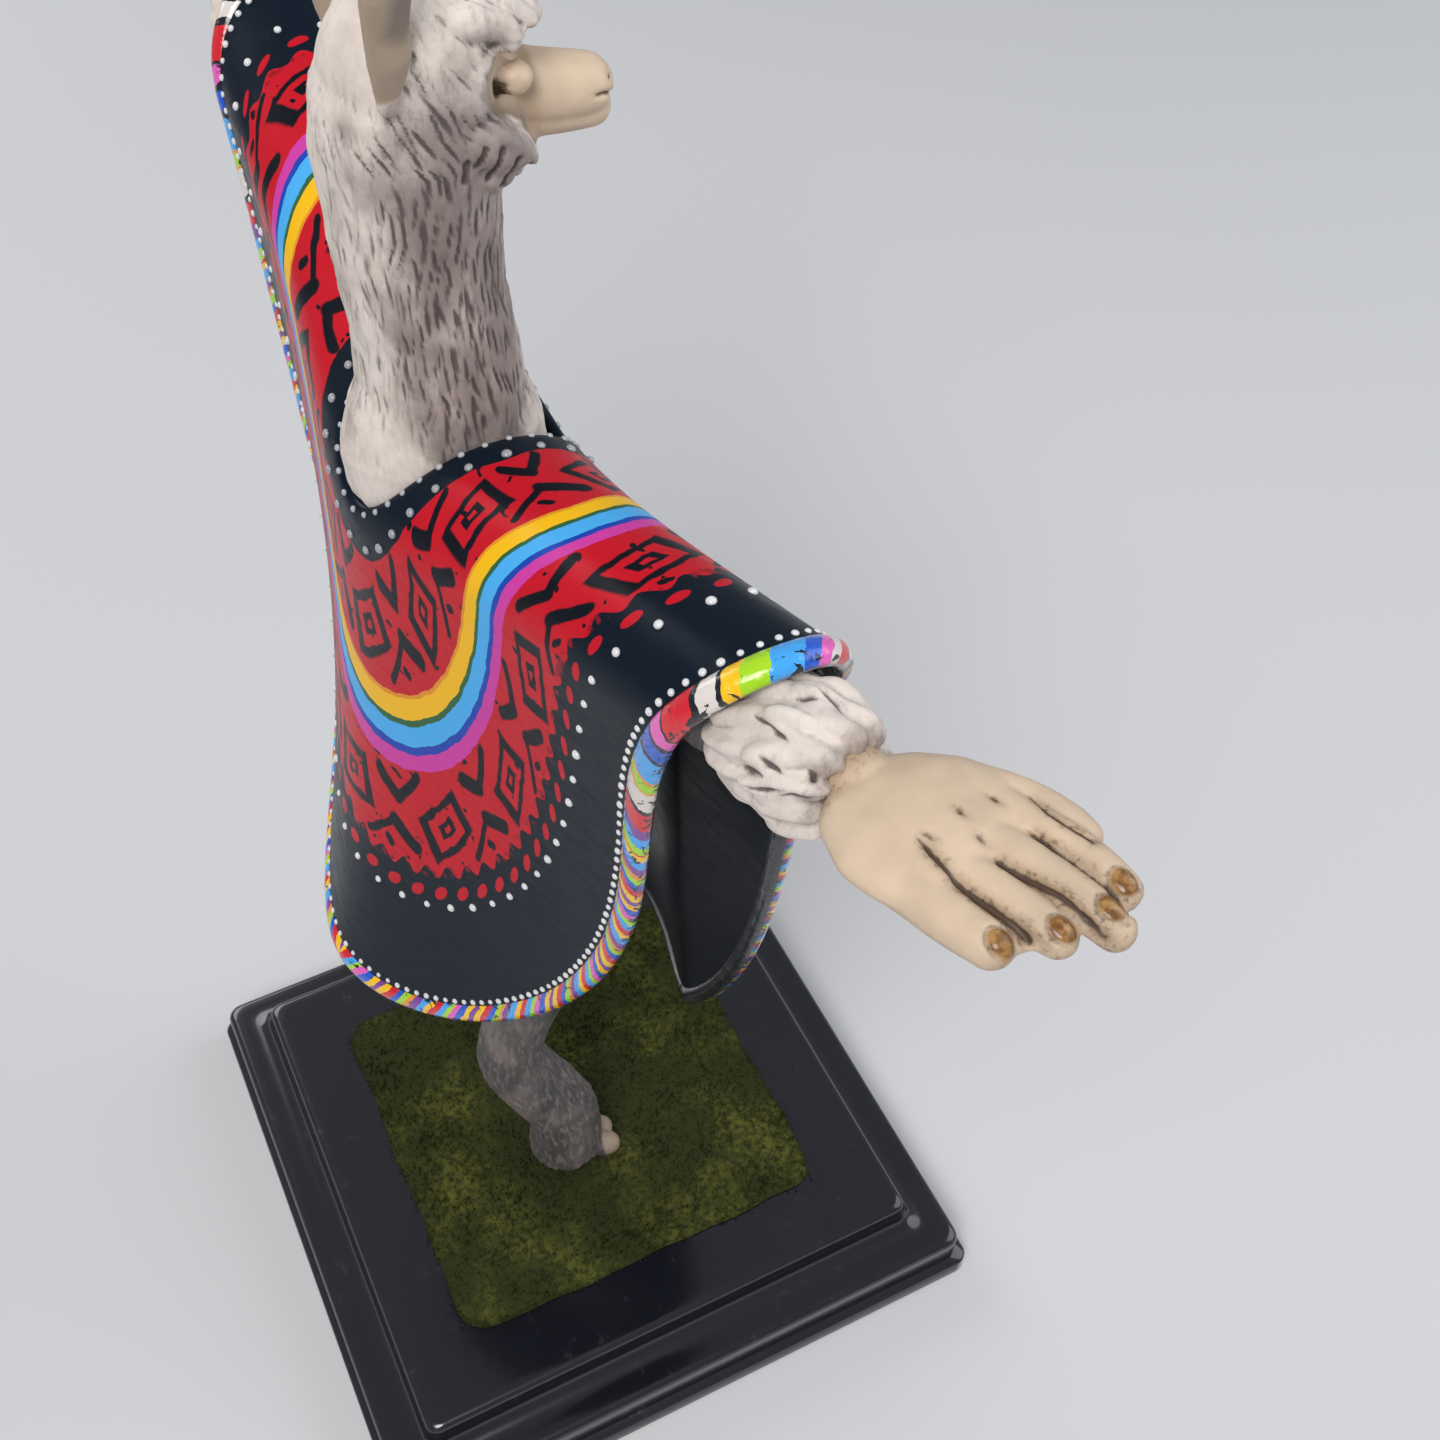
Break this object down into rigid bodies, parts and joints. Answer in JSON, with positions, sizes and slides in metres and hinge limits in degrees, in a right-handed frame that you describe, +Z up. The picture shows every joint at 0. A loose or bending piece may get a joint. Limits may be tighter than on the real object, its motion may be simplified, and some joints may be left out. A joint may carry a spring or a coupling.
{
  "type": "llama statuette",
  "caption": "Painted statuette of a llama in a patterned poncho, arms held out, balancing on one leg on a square moulded plinth with a patch of grass.",
  "frame": {"origin": "middle of the plinth's underside", "axes": "+Z up through the figure; the llama faces -Y, its right hand reaches towards -X and its left hand towards +X"},
  "size_m": [0.1809, 0.1, 0.23],
  "materials": {
    "lacquer": "black gloss lacquer over cast resin",
    "grass": "olive green flock",
    "wool": "cream paint with a brown-grey wash in the furrows, over cast resin",
    "poncho": "dark blue-black gloss paint with painted red, white and rainbow bands"
  },
  "bodies": {
    "root": {"plinth": "lacquer", "grass_mat": "grass", "llama": "wool", "poncho": "poncho"}
  },
  "joints": []
}
